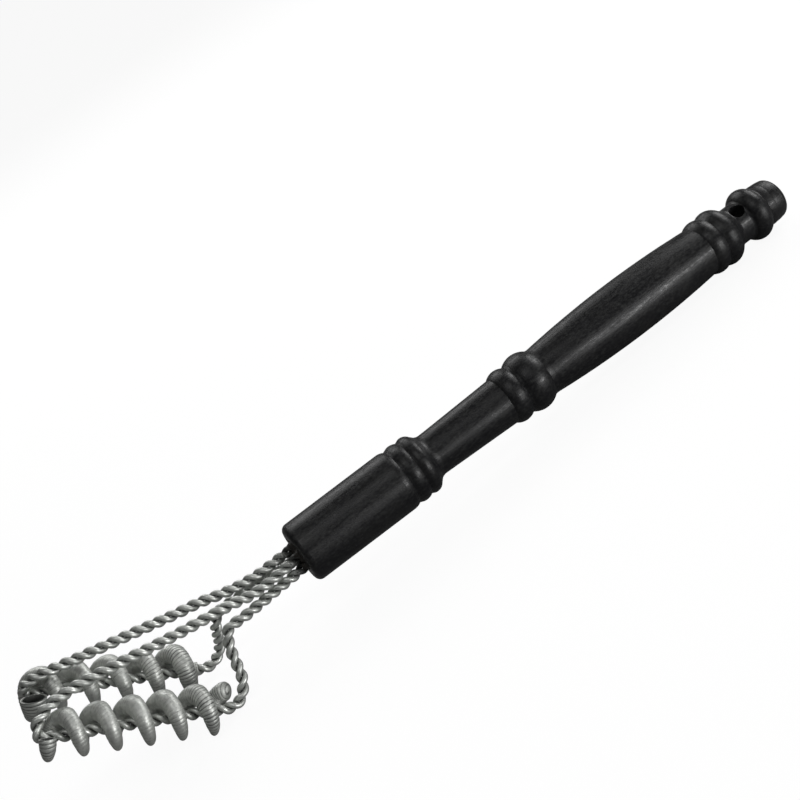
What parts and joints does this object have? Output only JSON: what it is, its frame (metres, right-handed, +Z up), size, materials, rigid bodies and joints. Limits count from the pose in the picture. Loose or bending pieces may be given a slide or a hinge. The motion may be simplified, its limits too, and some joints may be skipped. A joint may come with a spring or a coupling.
{
  "type": "grill brush",
  "caption": "Bristle-free grill cleaning brush: two helical scrub coils on twisted wire loops, glued into a turned black wooden handle with a hanging hole",
  "frame": {"origin": "middle of the bounding box in plan, on the surface the brush lies on at rest", "axes": "+X from the scrub coils to the hanging hole, +Y across the two coil rows from near to far, +Z up with the brush laid down on its coils and the end of its handle"},
  "size_m": [0.4539, 0.0656, 0.0643],
  "materials": {
    "handle": "black satin lacquer over turned wood",
    "glue": "cured dark glue",
    "wire": "galvanised, bright on the crowns",
    "coil": "dull grey, rubbed smooth on the outside of the turns"
  },
  "bodies": {
    "root": {"handle": "handle", "socket_glue": "glue", "far_wire_a": "wire", "far_wire_b": "wire", "near_wire_a": "wire", "near_wire_b": "wire", "far_coil": "coil", "near_coil": "coil"}
  },
  "joints": []
}
